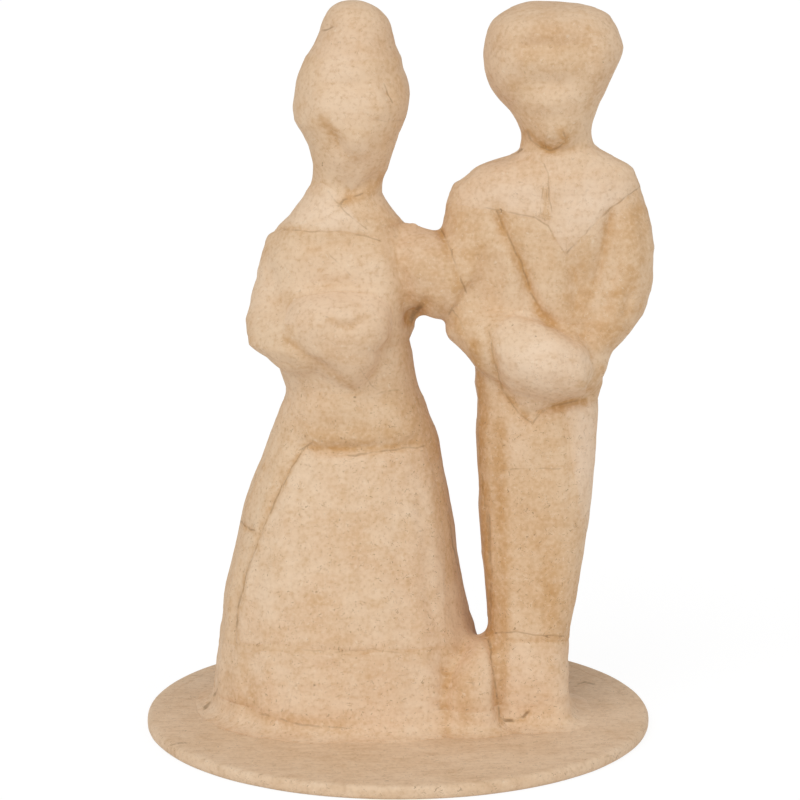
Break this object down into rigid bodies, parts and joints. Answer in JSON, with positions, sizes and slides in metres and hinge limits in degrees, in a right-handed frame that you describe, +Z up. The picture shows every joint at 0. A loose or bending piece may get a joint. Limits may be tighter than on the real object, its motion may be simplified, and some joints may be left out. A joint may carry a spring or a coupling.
{
  "type": "papier-mache couple figurine",
  "caption": "Blank papier-mache bride and groom standing arm in arm on a round board, for painting or as a cake or table decoration.",
  "frame": {"origin": "middle of the round board's underside, on the surface that it stands on", "axes": "+Z up along the figures, -Y the way that the couple faces, +X from the bride towards the groom"},
  "size_m": [0.125, 0.125, 0.18],
  "materials": {
    "kraft_paper": "matt, glue-stained brown",
    "pale_paper": "matt, pale, with fine fibres",
    "paper_pulp": "matt, softly lumpy",
    "base_paper": "matt, brushed, greyish beige",
    "grey_board": "raw grey board"
  },
  "bodies": {
    "root": {"base_board": "grey_board", "base_under_paper": "base_paper", "base_top_paper": "base_paper", "base_rim_strip": "base_paper", "bride_bun": "paper_pulp", "bride_bouquet": "paper_pulp", "bride_linking_arm": "paper_pulp", "groom_hair_cap": "paper_pulp", "skirt_leg_bridge": "paper_pulp", "bride_skirt_front_paper": "pale_paper", "bride_hem_strip": "pale_paper", "bride_skirt_back_paper": "pale_paper", "bride_shoulder_paper": "pale_paper", "bride_foot_collar": "pale_paper", "groom_shirt_paper": "pale_paper", "groom_hand_paper": "pale_paper", "groom_hip_paper": "pale_paper", "groom_ankle_paper": "pale_paper", "groom_foot_collar": "pale_paper", "bride_front_shell": "kraft_paper", "bride_back_shell": "kraft_paper", "bride_waist_paper": "kraft_paper", "bride_bodice_paper": "kraft_paper", "bride_outer_seam_strip": "kraft_paper", "bride_inner_seam_strip": "kraft_paper", "groom_front_shell": "kraft_paper", "groom_back_shell": "kraft_paper", "groom_tie": "kraft_paper", "groom_coat_front_paper": "kraft_paper", "groom_inner_sleeve_paper": "kraft_paper", "groom_outer_sleeve_paper": "kraft_paper", "groom_trouser_paper": "kraft_paper", "groom_inner_seam_strip": "kraft_paper", "groom_outer_seam_strip": "kraft_paper", "groom_coat_back_paper": "kraft_paper"}
  },
  "joints": []
}
